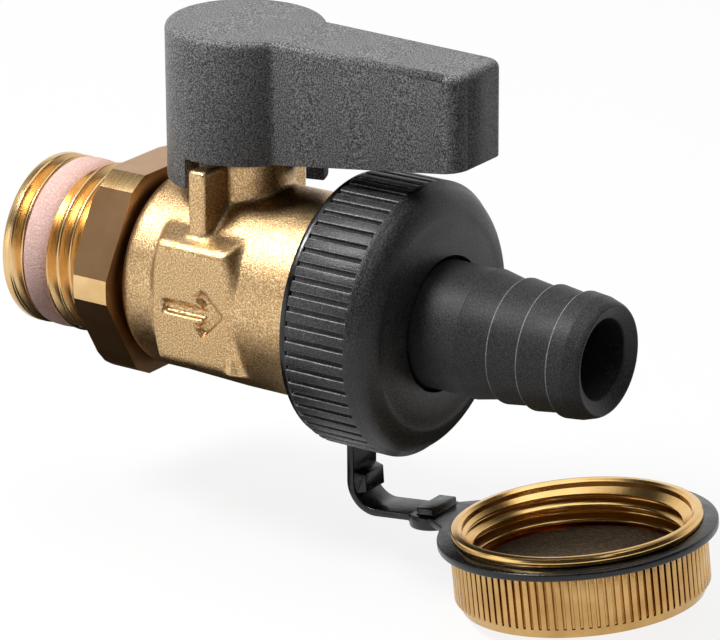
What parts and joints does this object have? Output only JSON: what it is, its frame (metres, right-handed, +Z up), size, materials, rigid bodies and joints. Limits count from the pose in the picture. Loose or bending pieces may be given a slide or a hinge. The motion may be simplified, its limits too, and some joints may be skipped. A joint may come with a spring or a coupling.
{
  "type": "ball drain cock",
  "caption": "Brass ball drain cock with a grey lever, a black union nut and barbed hose tail, and a knurled brass cap held on a plastic tether",
  "frame": {"origin": "on the pipe axis, in the plane of the hexagon's face that the inlet thread runs up to", "axes": "+X along the pipe axis from the inlet to the hose tail, +Z up along the stem, Y level across the pipe"},
  "size_m": [0.0918, 0.0326, 0.0632],
  "materials": {
    "turned_brass": "polished",
    "forged_brass": "blasted",
    "pink_seal": "matte",
    "black_rubber": "matte",
    "ball_chrome": "polished",
    "white_seat": "satin",
    "grey_lever": "grained",
    "black_nut": "grained",
    "black_tail": "satin",
    "black_tether": "semi-gloss",
    "dark_gasket": "matte"
  },
  "bodies": {
    "valve": {"tail_piece": "turned_brass", "thread_seal_ring": "pink_seal", "tail_o_ring": "black_rubber", "body": "forged_brass", "inlet_seat": "white_seat", "outlet_seat": "white_seat", "stem_thrust_washer": "white_seat"},
    "lever": {"handle": "grey_lever", "stem": "turned_brass", "ball": "ball_chrome", "lower_stem_o_ring": "black_rubber", "upper_stem_o_ring": "black_rubber"},
    "seal": {"nozzle_gasket": "black_rubber"},
    "nut": {"union_nut": "black_nut"},
    "tail": {"hose_nozzle": "black_tail"},
    "tether": {"cap_tether": "black_tether"},
    "cap": {"cap": "turned_brass", "cap_gasket": "dark_gasket"}
  },
  "joints": [
    {"name": "lever_turn", "type": "hinge", "parent": "valve", "child": "lever", "pos_m": [0.01635, 0, 0], "axis": [0, 0, 1], "range_deg": [-90, 0]},
    {"name": "nut_travel", "type": "slide", "parent": "valve", "child": "seal", "axis": [1, 0, 0], "range_m": [0, 0.00544]},
    {"name": "nut_turn", "type": "hinge", "parent": "seal", "child": "nut", "pos_m": [0.0386, 0, 0], "axis": [1, 0, 0], "range_deg": [0, 1082]},
    {"name": "tail_swivel", "type": "hinge", "parent": "seal", "child": "tail", "pos_m": [0.0424, 0, 0], "axis": [1, 0, 0], "continuous": true},
    {"name": "tether_swing", "type": "hinge", "parent": "valve", "child": "tether", "pos_m": [0.03245, 0, 0], "axis": [1, 0, 0], "range_deg": [-120, 120]},
    {"name": "cap_turn", "type": "hinge", "parent": "tether", "child": "cap", "pos_m": [0.06257, 0, -0.02152], "axis": [-0.117, 0, 0.9931], "continuous": true}
  ],
  "couplings": [
    {"joint": "nut_turn", "follows": "nut_travel", "rad_per_m": 3463.7}
  ]
}
